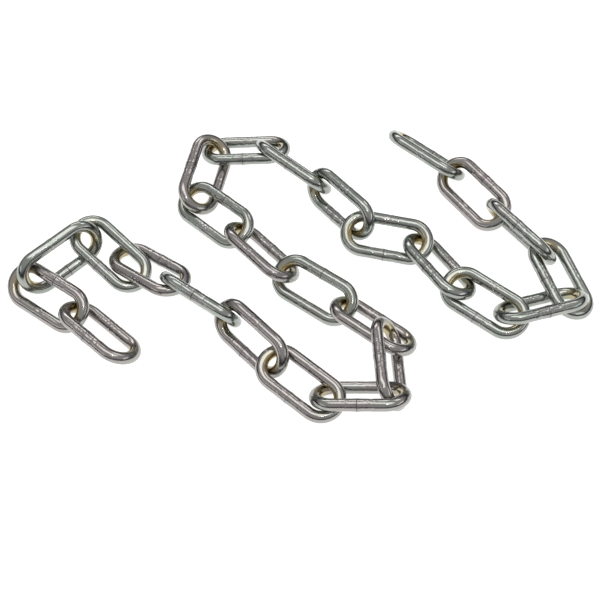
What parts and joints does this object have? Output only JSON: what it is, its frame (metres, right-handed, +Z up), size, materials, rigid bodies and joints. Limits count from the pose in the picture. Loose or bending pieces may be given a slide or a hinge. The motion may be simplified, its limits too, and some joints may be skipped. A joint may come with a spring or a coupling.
{
  "type": "loosely laid length of steel chain",
  "caption": "Length of bright plated steel chain of long welded oval links, laid down loosely so that it folds into a zig-zag on the floor.",
  "frame": {"origin": "centre of the bounding box on the floor that the chain lies on", "axes": "+Z up from the floor, +X along the longest side of the laid zig-zag, +Y away from the viewer of the picture"},
  "size_m": [0.29, 0.175, 0.0249],
  "materials": {
    "plated_steel": "bright zinc plate on drawn steel wire, smooth, with a faint grey haze"
  },
  "bodies": {
    "root": {"link_01": "plated_steel", "link_02": "plated_steel", "link_03": "plated_steel", "link_04": "plated_steel", "link_05": "plated_steel", "link_06": "plated_steel", "link_07": "plated_steel", "link_08": "plated_steel", "link_09": "plated_steel", "link_10": "plated_steel", "link_11": "plated_steel", "link_12": "plated_steel", "link_13": "plated_steel", "link_14": "plated_steel", "link_15": "plated_steel", "link_16": "plated_steel", "link_17": "plated_steel", "link_18": "plated_steel", "link_19": "plated_steel", "link_20": "plated_steel", "link_21": "plated_steel", "link_22": "plated_steel", "link_23": "plated_steel", "link_24": "plated_steel", "link_25": "plated_steel", "link_26": "plated_steel"}
  },
  "joints": []
}
